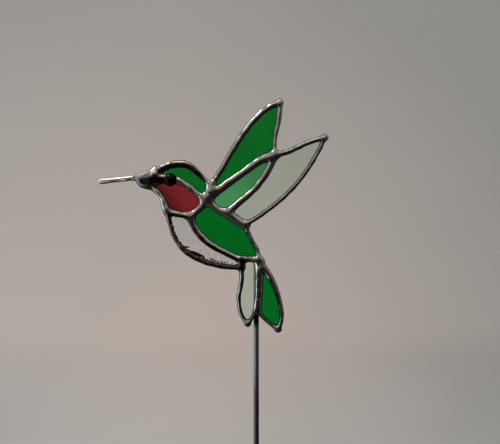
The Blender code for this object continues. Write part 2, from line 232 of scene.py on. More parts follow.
# Where the solder set dull: strokes on the cap over the bill's root.
DULLED_STROKES = (
    (3.2, 1.0, ((-71.0, 78.8), (-64.0, 82.6))),
    (3.0, 1.0, ((-70.5, 77.3), (-64.5, 73.8))),
)

# The belly's foil edge is ragged: the length and size of its noise, how far from the seam it reaches,
# and the share of it that is left outside the pane.
RAGGED_EDGE = (1.7, 0.14)
RAGGED_REACH = 2.6
RAGGED_OUTSIDE = 0.2

# Solder spilt on the belly's glass: the middle's u and v, half its length and width, its turn, its tarnish.
SPILLS = (
    (-41.9, 38.3, 2.9, 0.60, -6.0, 0.9),
    (-34.9, 34.2, 6.4, 0.85, -24.0, 0.9),
    (-32.8, 36.3, 0.40, 0.40, 0.0, 0.0),
    (-25.9, 31.0, 1.5, 0.50, -20.0, 0.6),
    (-24.1, 30.2, 0.7, 0.60, 30.0, 0.8),
    (-22.4, 29.9, 1.0, 0.45, 5.0, 0.5),
    (-20.6, 29.6, 0.6, 0.50, -40.0, 0.8),
    (-18.8, 29.2, 0.9, 0.40, 0.0, 0.6),
    (-16.9, 29.0, 0.5, 0.45, 20.0, 0.7),
    (-14.2, 28.7, 0.4, 0.30, 0.0, 0.2),
)
SPILL_RINGS = 7
SPILL_SIDES = 36
SPILL_HEIGHT = 0.45
SPILL_TOP = 0.06
SPILL_RIPPLE = (2.2, 0.16)
SPILL_STEEPNESS = 0.8

# Solder round the rod's top, behind the seam, and round the bill's root.
SADDLE_ENDS = (-0.4, ROD_ABOVE_FORK + 2.6)
SADDLE_HALF_WIDTH = 2.5
SADDLE_MIDDLE = 0.8
SADDLE_RISE = 2.7
SADDLE_SHOULDER = 1.5
SADDLE_TAPER = 3.0
SADDLE_END_HEIGHT = 0.02
SADDLE_END_WIDTH = 0.45
SADDLE_FALL = 1.6
SADDLE_RIPPLE = (4.6, 0.04)
SADDLE_STEPS = (110, 41)
COLLAR_PROFILE = ((-1.6, 1.9), (-0.6, 1.85), (0.2, 1.65), (1.0, 1.35), (1.7, 1.12), (2.0, 0.7))
COLLAR_RIPPLE = (1.7, 0.05)
COLLAR_SIDES = 40

EYE_LOW, EYE_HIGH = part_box("eye_bead")
EYE_SPREAD = 0.2
EYE_DROP = 0.42
EYE_BACK = 0.96
EYE_POLE = (0.9996, 0.03)
EYE_RINGS = 24
EYE_SIDES = 64

# The bill: one wire folded double and twisted, from its root to the loop at its tip.
BILL_ROOT = (-65.3, 79.4)
BILL_TIP = (-91.2, 76.55)
BILL_CAP_EDGE = 6.2
BILL_WIRE_RADIUS = 0.67
BILL_STRAND_OFFSET = 0.69
BILL_LOOP_LENGTH = 4.5
BILL_LOOP_OFFSET = 0.85
BILL_TWIST_PITCH = 9.7
BILL_TWIST = math.radians(24)
BILL_STEPS = 140
BILL_BEND_STEPS = 12
WIRE_SIDES = 18

ROD_STEPS = 60
ROD_SIDES = 72
ROD_CHAMFER = 0.12

# The belly's clear glass has a rolled, rippled face.
BELLY_INSET = 0.75
BELLY_STEP = 0.7
BELLY_MARGIN = 0.6
BELLY_RIPPLE = 0.11
BELLY_WAVES = ((3.4, 1.0), (1.9, 0.6))
BELLY_SQUEEZE = (1.0, 0.35)
BELLY_DIP = 1.6
BELLY_DEEPEST = 0.6
BELLY_FADE = 1.5

# Angles in degrees past which an edge stays sharp, and the seeds of the smooth noise.
WEB_CREASE = 62
SADDLE_CREASE = 60
WIRE_CREASE = 60
EYE_CREASE = 50
BELLY_CREASE = 40
ROD_CREASE = 30
EDGE_SEED = 0
RAGGED_SEED = 7
FRONT_SEED = 10
BACK_SEED = 20
SADDLE_SEED = 31
COLLAR_SEED = 41
BELLY_SEED = 51
SPILL_SEED = 60


def in_place(points):
    """Rows of u, depth and v as points of the scene."""
    return np.asarray(points, float) * MM + np.array(ORIGIN)


def smooth_curve(points, step):
    """A cubic curve through the points: slopes from their neighbours, read at even steps of chord length."""
    points = np.array(points, float)
    runs = np.linalg.norm(np.diff(points[:, :2], axis=0), axis=1)
    knots = np.concatenate([[0.0], np.cumsum(runs)])
    slopes = np.gradient(points, knots, axis=0, edge_order=2)
    count = max(2, round(knots[-1] / step))
    at = np.linspace(0.0, knots[-1], count + 1)
    span = np.clip(np.searchsorted(knots, at, side="right") - 1, 0, len(runs) - 1)
    run = runs[span][:, None]
    t = (at[:, None] - knots[span][:, None]) / run
    start = points[span] * (1 + 2 * t) + slopes[span] * run * t
    end = points[span + 1] * (3 - 2 * t) - slopes[span + 1] * run * (1 - t)
    return start * (1 - t) ** 2 + end * t**2


def seam_line(name):
    """The middle of a seam from junction to junction: rows of u, v and bead width.

    At a junction the bead is as wide as at its nearest bend, and no wider than the pool there.
    """
    first, last, *bends = SEAMS[name]
    ends = [
        (u, v, min(bend[2], 2 * radius))
        for (u, v, radius), bend in ((JUNCTIONS[first], bends[0]), (JUNCTIONS[last], bends[-1]))
    ]
    return smooth_curve([ends[0], *bends, ends[1]], SEAM_STEP)


SEAM_LINES = {name: seam_line(name) for name in SEAMS}


def ripple(points, wavelength, seed, count=28):
    """Smooth noise of about unit size: a sum of plane waves in random directions, near one wavelength."""
    random = np.random.default_rng(seed)
    heading = random.uniform(0, 2 * math.pi, count)
    length = wavelength * random.uniform(0.7, 1.5, count)
    waves = 2 * math.pi / length * np.stack([np.cos(heading), np.sin(heading)])
    phase = random.uniform(0, 2 * math.pi, count)
    return np.cos(points @ waves + phase).sum(axis=1) / math.sqrt(count / 2)


def ripples(points, waves, seed):
    """Smooth noise of several sizes together: each of the waves has its length and its size."""
    return sum(size * ripple(points, length, seed + k) for k, (length, size) in enumerate(waves))


def nearest_on(points, line):
    """How far each point is from a line of u, v and width, and the line's width there."""
    start, run = line[:-1, :2], np.diff(line[:, :2], axis=0)
    offset = points[:, None] - start
    share = np.clip((offset * run).sum(axis=2) / (run * run).sum(axis=1), 0.0, 1.0)
    gap = np.linalg.norm(offset - share[:, :, None] * run, axis=2)
    nearest = gap.argmin(axis=1)
    rows = np.arange(len(points))
    widths = line[nearest, 2] + share[rows, nearest] * (line[nearest + 1, 2] - line[nearest, 2])
    return gap[rows, nearest], widths


def from_loop(points, loop):
    """How far each point is from a closed loop of points."""
    closed = np.concatenate([loop, loop[:1]])
    return nearest_on(points, np.column_stack([closed, np.zeros(len(closed))]))[0]


def solder_edge(points):
    """How far each point is outside the solder, less than zero inside, and the bead's width there.

    The distance to each seam less half its width, and to each pool less its radius, joined by a soft
    minimum, -softness * log(sum(exp(-distance / softness))), so that crossings have fillets. The edge
    then wanders by two sizes of smooth noise, and by a third, finer one inside the belly's seam.
    """
    total = np.full(len(points), 1e-30)
    width_total = total * PLAIN_WIDTH
    for line in SEAM_LINES.values():
        low, high = line[:, :2].min(axis=0) - SEAM_REACH, line[:, :2].max(axis=0) + SEAM_REACH
        near = np.flatnonzero(((points > low) & (points < high)).all(axis=1))
        gap, width = nearest_on(points[near], line)
        weight = np.exp(-(gap - width / 2) / FILLET_SOFTNESS)
        total[near] += weight
        width_total[near] += weight * width
    for u, v, radius in JUNCTIONS.values():
        gap = np.linalg.norm(points - (u, v), axis=1)
        weight = np.exp(-(gap - radius + POOL_TRIM) / FILLET_SOFTNESS)
        total += weight
        width_total += weight * 2 * radius
    length, size = RAGGED_EDGE
    near = np.clip(2 - nearest_on(points, SEAM_LINES["belly"])[0] / RAGGED_REACH, 0.0, 1.0)
    near = near * np.where(within(points, seam_loop(PANES["belly_glass"], 0.0)), 1.0, RAGGED_OUTSIDE)
    wander = ripples(points, EDGE_WANDER, EDGE_SEED) + near * size * ripple(points, length, RAGGED_SEED)
    return -FILLET_SOFTNESS * np.log(total) + wander, width_total / total


def edge_level(points):
    """How far each point is outside the solder, less than zero inside."""
    return solder_edge(points)[0]


def brushed(points, strokes):
    """How strong a finish is at each point, from strokes.

    Each stroke gives its strength, in full to half its reach from its line and then fading. The
    strongest counts.
    """
    shares = []
    for reach, strength, line in strokes:
        line = np.array([(*place[:2], 0.0) for place in line])
        shares.append(strength * np.clip(2 - 2 * nearest_on(points, line)[0] / reach, 0.0, 1.0))
    return np.max(shares, axis=0)


def tarnish_and_shade(points):
    """How dark brown the solder is painted at each point, for tarnish and as painted shade, from whole seams
    and from strokes.
    """
    seams = [(TARNISH_AND_SHADE_REACH, strength, SEAM_LINES[name]) for name, strength in TARNISHED_AND_SHADED_SEAMS.items()]
    return brushed(points, (*seams, *PAINTED_SHADE_STROKES))


def slope(field, points):
    """How fast a field grows along u and along v at each point, from differences over a short step."""
    rises = [field(points + step) - field(points - step) for step in ((SLOPE_STEP, 0), (0, SLOPE_STEP))]
    return np.stack(rises, axis=1) / (2 * SLOPE_STEP)


def unit(rows):
    """Rows of vectors, each made one long."""
    return rows / np.linalg.norm(rows, axis=1)[:, None]


def evenly(loop, step):
    """A closed loop of points, read again at even steps of its length."""
    closed = np.concatenate([loop, loop[:1]])
    travelled = np.concatenate([[0.0], np.cumsum(np.linalg.norm(np.diff(closed, axis=0), axis=1))])
    count = round(travelled[-1] / step)
    at = np.arange(count) * travelled[-1] / count
    return np.stack([np.interp(at, travelled, closed[:, k]) for k in (0, 1)], axis=1)


def drawn_to(loop, level, step):
    """A loop moved along the edge field's slope until it lies where the field has this level."""
    for _ in range(5):
        loop = evenly(loop, step)
        for _ in range(3):
            run = slope(edge_level, loop)
            move = (edge_level(loop) - level)[:, None] * run / (run * run).sum(axis=1)[:, None]
            size = np.linalg.norm(move, axis=1)[:, None]
            loop = loop - move * np.minimum(1.0, LONGEST_MOVE / np.maximum(size, 1e-9))
    return loop


def seam_loop(seams, inset):
    """The loop of these seams, anticlockwise, moved inwards.

    Points that a sharp corner folds back are left out.
    """
    loop = []
    for seam in seams.split():
        line = SEAM_LINES[seam.lstrip("-")][:, :2]
        loop.append(line[::-1][:-1] if seam.startswith("-") else line[:-1])
    loop = np.concatenate(loop)
    after = np.roll(loop, -1, axis=0)
    if np.sum(loop[:, 0] * after[:, 1] - after[:, 0] * loop[:, 1]) < 0:
        loop = loop[::-1]
    heading = unit(np.roll(loop, -1, axis=0) - np.roll(loop, 1, axis=0))
    moved = loop + inset * np.stack([-heading[:, 1], heading[:, 0]], axis=1)
    return moved[from_loop(moved, loop) > abs(inset) - CORNER_SLACK]


def within(points, loop):
    """Which points are inside a closed loop: a level line from each crosses it an odd number of times."""
    after = np.roll(loop, -1, axis=0)
    u, v = points[:, :1], points[:, 1:]
    spans = (loop[:, 1] > v) != (after[:, 1] > v)
    rise = np.where(after[:, 1] == loop[:, 1], 1.0, after[:, 1] - loop[:, 1])
    crossing = loop[:, 0] + (v - loop[:, 1]) * (after[:, 0] - loop[:, 0]) / rise
    return (spans & (u < crossing)).sum(axis=1) % 2 == 1


def foil_wall(loop):
    """Where the foil wraps the pane's edge: the loop moved outwards to a set distance from the seams."""

    def gap(points):
        return np.min([nearest_on(points, line)[0] for line in SEAM_LINES.values()], axis=0)

    run = slope(gap, loop)
    run /= np.linalg.norm(run, axis=1)[:, None] + 1e-9
    return loop - (gap(loop) - FOIL_WALL)[:, None] * run


def stretched_skin(points, triangles, fixed, values, pull, push):
    """Solves laplacian(f) - pull * f = -push over a flat triangle mesh, with f given at the fixed points.

    Each edge weighs half the sum of the cotangents opposite it, and the equations are solved by
    conjugate gradients.
    """
    corners = points[triangles]
    size = len(points)
    doubled = np.cross(corners[:, 1] - corners[:, 0], corners[:, 2] - corners[:, 0])
    area = np.bincount(triangles.ravel(), np.repeat(np.abs(doubled) / 6, 3), size)
    first, second, weight = [], [], []
    for k in range(3):
        one = corners[:, (k + 1) % 3] - corners[:, k]
        two = corners[:, (k + 2) % 3] - corners[:, k]
        weight.append((one * two).sum(axis=1) / np.maximum(np.abs(doubled), 1e-9) / 2)
        first.append(triangles[:, (k + 1) % 3])
        second.append(triangles[:, (k + 2) % 3])
    first, second, weight = np.concatenate(first), np.concatenate(second), np.concatenate(weight)
    diagonal = np.bincount(first, weight, size) + np.bincount(second, weight, size) + pull * area
    diagonal[area == 0] = 1.0

    def stiffness(f):
        inflow = np.bincount(first, weight * f[second], size)
        return diagonal * f - inflow - np.bincount(second, weight * f[first], size)

    free = ~fixed
    f = np.where(fixed, values, 0.0)
    rest = np.where(free, push * area - stiffness(f), 0.0)
    search = rest / diagonal
    energy = rest @ search
    goal = energy * SKIN_ERROR
    for _ in range(SKIN_ROUNDS):
        effect = np.where(free, stiffness(search), 0.0)
        share = energy / (search @ effect)
        f = f + share * search
        rest = rest - share * effect
        before, energy = energy, rest @ (rest / diagonal)
        if energy < goal:
            break
        search = rest / diagonal + energy / before * search
    return f


def new_mesh(name, points, faces):
    """A smooth mesh object from points in metres and faces."""
    data = bpy.data.meshes.new(name)
    data.from_pydata(points, [], faces)
    data.update()
    data.polygons.foreach_set("use_smooth", np.full(len(data.polygons), True))
    made = bpy.data.objects.new(name, data)
    bpy.context.scene.collection.objects.link(made)
    return made


def new_piece(name, shape, marks=None, crease=None):
    """A closed piece from points of u, depth and v and faces, riding on the body.

    Marks are values at its points that its finish reads. Edges that turn past the crease stay sharp.
    """
    points, faces = shape
    made = new_mesh(name, in_place(points), faces)
    for key, values in (marks or {}).items():
        layer = made.data.attributes.new(key, "FLOAT", "POINT")
        layer.data.foreach_set("value", np.asarray(values, np.float32))
    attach(made, "root")
    facing_out(made)
    if crease:
        made.data.set_sharp_from_angle(angle=math.radians(crease))
    return made


def facing_out(obj):
    """Turns the faces of a closed mesh outwards."""
    mesh = bmesh.new()
    mesh.from_mesh(obj.data)
    bmesh.ops.recalc_face_normals(mesh, faces=mesh.faces)
    mesh.to_mesh(obj.data)
    mesh.free()


def band(first, second):
    """Quads between two closed rings of point numbers."""
    return np.stack([first, np.roll(first, -1), np.roll(second, -1), second], axis=1)


def lattice_over(loop, step, row_step):
    """Points in even rows over a loop's box, every other row moved by half a step."""
    low, high = loop.min(axis=0), loop.max(axis=0)
    grid_u, grid_v = np.meshgrid(np.arange(low[0], high[0], step), np.arange(low[1], high[1], row_step))
    grid_u[1::2] += step / 2
    return np.stack([grid_u.ravel(), grid_v.ravel()], axis=1)


def filled(coords, rings, bounds):
    """A flat triangle mesh of these points, with rings of point numbers kept as edges.

    It lies inside the first ring and outside the rest of the first few, as many as the bounds.
    Returns its points, its triangles and the new number of each given point.
    """
    edges = np.concatenate([np.stack([n, np.roll(n, -1)], axis=1) for n in rings]).tolist()
    loops = [n.tolist() for n in rings[:bounds]]
    made = delaunay_2d_cdt([Vector(c) for c in coords], edges, loops, 0, 1e-6, True)
    verts, _, faces, original, _, owners = made
    kept = [face for face, loops_round in zip(faces, owners) if list(loops_round) == [0]]
    numbers = np.full(len(coords), -1)
    for k, sources in enumerate(original):
        numbers[list(sources)] = k
    return np.array([tuple(v) for v in verts]), np.array(kept), numbers


def solder_plan():
    """The solder's plan as one flat triangle mesh, with rings along its edges.

    Returns its points, its triangles, the point numbers round the bird's edge, and those of the foil
    and bead loops of each pane. Inside the edges the points are a triangular lattice.
    """
    edge = drawn_to(seam_loop(BIRD_EDGE, RIM_START), 0.0, LOOP_STEP)
    run = unit(slope(edge_level, edge))
    rings = [edge - run * inset for inset in RIM_RINGS]
    starts = [seam_loop(seams, PANE_START) for seams in PANES.values()]
    foil = [drawn_to(loop, FOIL_LEVEL, LOOP_STEP) for loop in starts]
    bead = [drawn_to(loop, BEAD_LEVEL, LOOP_STEP) for loop in starts]
    lattice = lattice_over(edge, LATTICE_STEP, LATTICE_STEP * math.sqrt(3) / 2)
    lattice = lattice[edge_level(lattice) < LATTICE_LEVEL]

    loops = [edge, *foil, *bead]
    ends = np.cumsum([0] + [len(loop) for loop in loops])
    numbers = [np.arange(a, b) for a, b in zip(ends, ends[1:])]
    points, triangles, lookup = filled(np.concatenate([*loops, *rings, lattice]), numbers, 1 + len(foil))
    numbers = [lookup[n] for n in numbers]
    return points, triangles, numbers[0], numbers[1 : 1 + len(foil)], numbers[1 + len(foil) :]


def solder_height(points, triangles, rim, foil, bead):
    """How far the solder stands out from the glass's middle.

    Its square is a skin stretched from nothing at the bird's edge to the foil's top round each pane
    and blown up by an even pressure, so narrow beads are round and low and pools are broad and high.
    """
    width = solder_edge(points)[1]
    base = FOIL_TOP**2
    pull = 1 / SPREAD_LENGTH**2
    push = (FULL_HEIGHT**2 - base) * pull * np.clip(PLAIN_WIDTH / width, *NARROW_HELP) + base * pull
    fixed = np.zeros(len(points), bool)
    values = np.zeros(len(points))
    at_foil = np.concatenate([*foil, *bead])
    fixed[rim] = True
    fixed[at_foil] = True
    values[at_foil] = base
    return np.sqrt(np.maximum(stretched_skin(points, triangles, fixed, values, pull, push), 0.0))


def solder_web():
    """Solder and foil in one: two sheets over one plan, joined at the bird's edge and round each pane.

    Each sheet stands out from the glass's middle by the stretched skin's height, with smooth ripples
    that fade towards the edges. Round a pane the foil turns under, runs in over the glass, and goes
    through beside the pane's edge.
    """
    points, triangles, rim, foil, bead = solder_plan()
    height = solder_height(points, triangles, rim, foil, bead)
    level = edge_level(points)
    inside = np.clip((BEAD_LEVEL - level) / RIPPLE_FADE, 0.0, 1.0)
    sheets = []
    for side, seed in ((-1, FRONT_SEED), (1, BACK_SEED)):
        stand = height + inside * ripples(points, RIPPLES, seed)
        if side < 0:
            for u, v, reach, rise in LUMPS:
                away = ((points - (u, v)) ** 2).sum(axis=1) / reach**2
                stand = stand + rise * np.exp(-away) * inside
        sheets.append(np.column_stack([points[:, 0], side * stand, points[:, 1]]))
    count = len(points)
    total = 2 * count
    back = np.arange(count) + count
    back[rim] = rim
    faces = [triangles, back[triangles][:, ::-1]]
    foil_mark = [np.zeros(total)]
    foil_mark[0][np.concatenate(foil)] = 1.0
    foil_mark[0][back[np.concatenate(foil)]] = 1.0
    under = GLASS_HALF + GLASS_CLEARANCE
    for loop in foil:
        outline = points[loop]
        wall = foil_wall(outline)
        numbers = [loop]
        for plan, depth in ((outline, -under), (wall, -under), (wall, under), (outline, under)):
            sheets.append(np.column_stack([plan[:, 0], np.full(len(plan), depth), plan[:, 1]]))
            numbers.append(np.arange(total, total + len(plan)))
            total += len(plan)
            foil_mark.append(np.ones(len(plan)))
        numbers.append(back[loop])
        faces.extend(band(first, second) for first, second in zip(numbers, numbers[1:]))
    used = np.unique(np.concatenate([f.ravel() for f in faces]))
    renumber = np.full(total, -1)
    renumber[used] = np.arange(len(used))
    faces = [face for group in faces for face in renumber[group].tolist()]
    # Hollow marks the bead's slope by the glass, where the finish paints a dark film that is partly flux and
    # partly painted shade.
    hollow = np.clip(1 + (level - BEAD_LEVEL) / HOLLOW_FADE, 0.0, 1.0)
    vertices = np.concatenate(sheets)[used]
    plan = vertices[:, [0, 2]]
    # The brown mark among these stands for tarnish and for painted shade.
    marks = {
        "foil": np.concatenate(foil_mark)[used],
        "hollow": np.concatenate([hollow, hollow, np.ones(total - 2 * count)])[used],
        "tarnish_and_shade": tarnish_and_shade(plan),
        "dull": brushed(plan, DULLED_STROKES),
    }
    web = new_piece("solder_beads", (vertices, faces), marks, WEB_CREASE)
    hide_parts("solder_web")
    return web


def sleeve(rings):
    """The points of equal rings, their numbers ring by ring, and quads from each ring to the next."""
    count, sides = rings.shape[:2]
    numbers = np.arange(count * sides).reshape(count, sides)
    quads = [face for a, b in zip(numbers, numbers[1:]) for face in band(a, b).tolist()]
    return rings.reshape(-1, 3), numbers, quads


def tube(rings):
    """Points and faces of a closed tube through equal rings of points, each end closed to its middle."""
    points, numbers, quads = sleeve(rings)
    first, last, poles = numbers[0], numbers[-1], len(points) + np.zeros(rings.shape[1], int)
    caps = [[np.roll(first, -1), first, poles], [last, np.roll(last, -1), poles + 1]]
    caps = np.concatenate([np.stack(cap, axis=1) for cap in caps])
    return np.concatenate([points, rings[[0, -1]].mean(axis=1)]), quads + caps.tolist()


def circle(sides):
    """The cosines and the sines of even angles round a circle, each as a column."""
    angles = np.arange(sides) * 2 * math.pi / sides
    return np.cos(angles)[:, None], np.sin(angles)[:, None]


def turned(start, axis, profile, sides):
    """Rings of a profile of distance along the axis and radius, carried round the axis from its start."""
    axis = np.asarray(axis, float) / np.linalg.norm(axis)
    first = np.cross(axis, (0.0, 1.0, 0.0) if abs(axis[1]) < 0.9 else (1.0, 0.0, 0.0))
    first /= np.linalg.norm(first)
    second = np.cross(axis, first)
    across, upward = circle(sides)
    profile = np.array(profile, float)
    around = across * first + upward * second
    return np.asarray(start) + profile[:, :1, None] * axis + profile[:, 1:, None] * around


def rod_saddle():
    """Solder drawn up on both sides of the rod, behind the rod seam.

    The section is a flat sole on the glass and a top that stays level over the rod and then sinks to
    the edges as 1 - (distance past the shoulder / reach)^fall. It tapers off at both ends and has
    smooth ripples.
    """
    low, high = SADDLE_ENDS
    steps, sides = SADDLE_STEPS
    along = np.linspace(low, high, steps)[:, None]
    taper = np.clip(np.minimum(along - low, high - along) / SADDLE_TAPER, 0.0, 1.0)
    taper = np.sqrt(1 - (1 - taper) ** 2) * (1 - SADDLE_END_HEIGHT) + SADDLE_END_HEIGHT
    half_width = SADDLE_HALF_WIDTH * (SADDLE_END_WIDTH + (1 - SADDLE_END_WIDTH) * taper)
    aside = -np.cos(np.linspace(0.0, math.pi, sides)) * half_width
    reach = SADDLE_HALF_WIDTH - SADDLE_SHOULDER
    past = np.clip((np.abs(aside) - SADDLE_SHOULDER) / reach, 0.0, 1.0)
    across = aside + SADDLE_MIDDLE
    along = np.broadcast_to(along, across.shape)
    length, size = SADDLE_RIPPLE
    lumps = ripple(np.stack([across.ravel(), along.ravel()], axis=1), length, SADDLE_SEED)
    rise = SADDLE_RISE * (1 - past**SADDLE_FALL) * taper * (1 + size * lumps.reshape(across.shape))
    sole = np.full(across.shape, GLASS_HALF + GLASS_CLEARANCE / 2)
    top = np.stack([across, sole + rise + GLASS_CLEARANCE, along], axis=2)
    under = np.stack([across, sole, along], axis=2)[:, ::-4]
    shape = tube(np.concatenate([top, under], axis=1))
    return new_piece("rod_saddle", shape, crease=SADDLE_CREASE)


def bill_line():
    """The bill's root, the direction to its tip and its length."""
    root = np.array((BILL_ROOT[0], 0.0, BILL_ROOT[1]))
    tip = np.array((BILL_TIP[0], 0.0, BILL_TIP[1]))
    length = np.linalg.norm(tip - root)
    return root, (tip - root) / length, length


def bill_path():
    """The wire's middle: up one strand of the twist, round the loop at the tip and down the other."""
    root, along, length = bill_line()
    upward = np.array((along[2], 0.0, -along[0]))
    outward = np.array((0.0, -1.0, 0.0))
    twisted = length - BILL_LOOP_LENGTH
    distance = np.linspace(0.0, length, BILL_STEPS)
    left = np.clip(twisted - distance, 0.0, None)
    turn = BILL_TWIST * np.sin(left * 2 * math.pi / BILL_TWIST_PITCH)
    opening = np.clip((distance - twisted) / BILL_LOOP_LENGTH, 0.0, 1.0)
    opening = opening * opening * (3 - 2 * opening)
    offset = BILL_STRAND_OFFSET + (BILL_LOOP_OFFSET - BILL_STRAND_OFFSET) * opening
    sideways = offset[:, None] * (np.cos(turn)[:, None] * upward + np.sin(turn)[:, None] * outward)
    middle = root + distance[:, None] * along
    bend = np.linspace(0.0, math.pi, BILL_BEND_STEPS)[1:-1, None]
    loop = middle[-1] + BILL_LOOP_OFFSET * (np.cos(bend) * upward + np.sin(bend) * along)
    return np.concatenate([middle + sideways, loop, (middle - sideways)[::-1]])


def beak_wire():
    """A round section carried along the folded and twisted wire, square to its run."""
    path = bill_path()
    run = unit(np.gradient(path, axis=0))
    side = unit(np.cross(run, (0.0, 1.0, 0.0)))
    other = np.cross(side, run)
    across, upward = circle(WIRE_SIDES)
    rings = path[:, None] + BILL_WIRE_RADIUS * (across * side[:, None] + upward * other[:, None])
    # Painted shade: the lower strand is marked to be painted dark brown.
    lower = np.clip((np.arange(len(path)) - BILL_STEPS) / BILL_BEND_STEPS, 0.0, 1.0)
    marks = {"tarnish_and_shade": np.concatenate([np.repeat(lower, WIRE_SIDES), lower[[0, -1]]])}
    made = new_piece("bill_wire", tube(rings), marks, WIRE_CREASE)
    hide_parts("beak_wire")
    return made


def bill_collar():
    """The solder that flowed out along the wire's root: a tapering profile carried round the bill."""
    root, along, _ = bill_line()
    rings = turned(root + along * BILL_CAP_EDGE, along, COLLAR_PROFILE, COLLAR_SIDES)
    flat = rings.reshape(-1, 3)
    length, size = COLLAR_RIPPLE
    lumps = ripple(flat[:, [0, 2]] + flat[:, 1:2], length, COLLAR_SEED).reshape(*rings.shape[:2], 1)
    middle = rings.mean(axis=1, keepdims=True)
    shape = tube(middle + (rings - middle) * (1 + size * lumps))
    return new_piece("bill_collar", shape, {"dull": np.ones(len(shape[0]))})


def eye_dome():
    """A flattened half ball on a flat back: a quarter ellipse carried round the eye's axis."""
    centre = (EYE_LOW + EYE_HIGH) / 2 - ORIGIN
    radius = (EYE_HIGH.x - EYE_LOW.x) / 2 / MM + EYE_SPREAD
    height = (EYE_HIGH.y - EYE_LOW.y) / MM
    back = np.array((centre.x / MM, (EYE_HIGH.y - ORIGIN.y) / MM, centre.z / MM - EYE_DROP))
    climb = np.linspace(0.0, math.pi / 2, EYE_RINGS, endpoint=False)
    dome = np.stack([height * np.sin(climb), radius * np.cos(climb)], axis=1)
    pole = (height * EYE_POLE[0], radius * EYE_POLE[1])
    profile = np.concatenate([[(0.0, radius * EYE_BACK)], dome, [pole]])
    shape = tube(turned(back, (0, -1, 0), profile, EYE_SIDES))
    made = new_piece("eye_dome", shape, crease=EYE_CREASE)
    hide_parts("eye_bead")
    return made


def steel_rod():
    """A round bar with slightly eased ends: a straight profile carried round the rod's axis."""
    foot = np.array((0.0, ROD_DEPTH, (ROD_LOW.z - ORIGIN.z) / MM))
    length = (ROD_HIGH.z - ROD_LOW.z) / MM
    straight = np.linspace(ROD_CHAMFER, length - ROD_CHAMFER, ROD_STEPS)
    body = np.stack([straight, np.full(ROD_STEPS, ROD_RADIUS)], axis=1)
    eased = ROD_RADIUS - ROD_CHAMFER
    profile = np.concatenate([[(0.0, eased)], body, [(length, eased)]])
    shape = tube(turned(foot, (0, 0, 1), profile, ROD_SIDES))
    made = new_piece("steel_rod", shape, crease=ROD_CREASE)
    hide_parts("stake_rod")
    return made


def belly_pane():
    """The belly's pane: a flat back, and a front that dips below its plane by smooth, drawn-out ripples.

    The ripples are noise on a plan squeezed along v, so they run up and down, and they fade at the edge.
    """
    outline = evenly(seam_loop(PANES["belly_glass"], BELLY_INSET), BELLY_STEP)
    lattice = lattice_over(outline, BELLY_STEP, BELLY_STEP)
    clear = from_loop(lattice, outline) > BELLY_STEP * BELLY_MARGIN
    coords = np.concatenate([outline, lattice[clear & within(lattice, outline)]])
    ring = np.arange(len(outline))
    points, triangles, numbers = filled(coords, [ring], 1)
    swirl = ripples(points * BELLY_SQUEEZE, BELLY_WAVES, BELLY_SEED)
    dip = BELLY_RIPPLE * (BELLY_DIP + swirl) * np.clip(from_loop(points, outline) / BELLY_FADE, 0.0, 1.0)
    count = len(points)
    front = np.column_stack([points[:, 0], np.clip(dip, 0.0, BELLY_DEEPEST) - GLASS_HALF, points[:, 1]])
    back = np.column_stack([points[:, 0], np.full(count, GLASS_HALF), points[:, 1]])
    rim = numbers[ring]
    faces = triangles.tolist() + (triangles[:, ::-1] + count).tolist() + band(rim, rim + count).tolist()
    shape = np.concatenate([front, back]), faces
    made = new_piece("belly_pane", shape, crease=BELLY_CREASE)
    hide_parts("belly_glass")
    return made


def belly_spills():
    """Solder spilt on the belly's glass: drops, each an ellipse with a wandering edge under a round top."""
    points, faces, tarnished, total = [], [], [], 0
    share = np.sin(np.linspace(math.pi / 2, SPILL_TOP, SPILL_RINGS))[:, None]
    ring = np.hstack(circle(SPILL_SIDES))
    wave, size = SPILL_RIPPLE
    for seed, (u, v, length, width, turn, brown) in enumerate(SPILLS, SPILL_SEED):
        edge = share * (1 + size * ripple(ring * 2, wave, seed))
        flat_u, flat_v = edge * length * ring[:, 0], edge * width * ring[:, 1]
        turn = math.radians(turn)
        plan_u = u + flat_u * math.cos(turn) - flat_v * math.sin(turn)
        plan_v = v + flat_u * math.sin(turn) + flat_v * math.cos(turn)
        height = min(SPILL_HEIGHT, width * SPILL_STEEPNESS)
        depth = -GLASS_HALF - height * np.sqrt(1 - share**2) * np.ones(SPILL_SIDES)
        rings = np.stack([plan_u, depth, plan_v], axis=2)
        foot = rings[:1] + (0.0, BELLY_RIPPLE * 2, 0.0)
        drop, quads = tube(np.concatenate([foot, rings]))
        points.append(drop)
        faces += [tuple(corner + total for corner in face) for face in quads]
        tarnished.append(np.full(len(drop), brown))
        total += len(drop)
    marks = {"tarnish_and_shade": np.concatenate(tarnished)}
    return new_piece("belly_spills", (np.concatenate(points), faces), marks)


def arithmetic(operation, swapped=False):
    """An operator of Value, which adds a Math node of this operation."""

    def apply(self, other):
        values = (other, self) if swapped else (self, other)
        return self.finish.node("Math", {"operation": operation}, dict(enumerate(values)))

    return apply


class Value:
    """A number, colour or vector in a material. Arithmetic adds Math nodes, so it suits numbers only."""

    def __init__(self, finish, socket):
        self.finish = finish
        self.socket = socket

    __add__, __radd__ = arithmetic("ADD"), arithmetic("ADD", True)
    __sub__, __rsub__ = arithmetic("SUBTRACT"), arithmetic("SUBTRACT", True)
    __mul__, __rmul__ = arithmetic("MULTIPLY"), arithmetic("MULTIPLY", True)
    __truediv__, __rtruediv__ = arithmetic("DIVIDE"), arithmetic("DIVIDE", True)
    larger, smaller = arithmetic("MAXIMUM"), arithmetic("MINIMUM")

    def clamped(self):
        return self.larger(0.0).smaller(1.0)

    def squared(self):
        return self * self


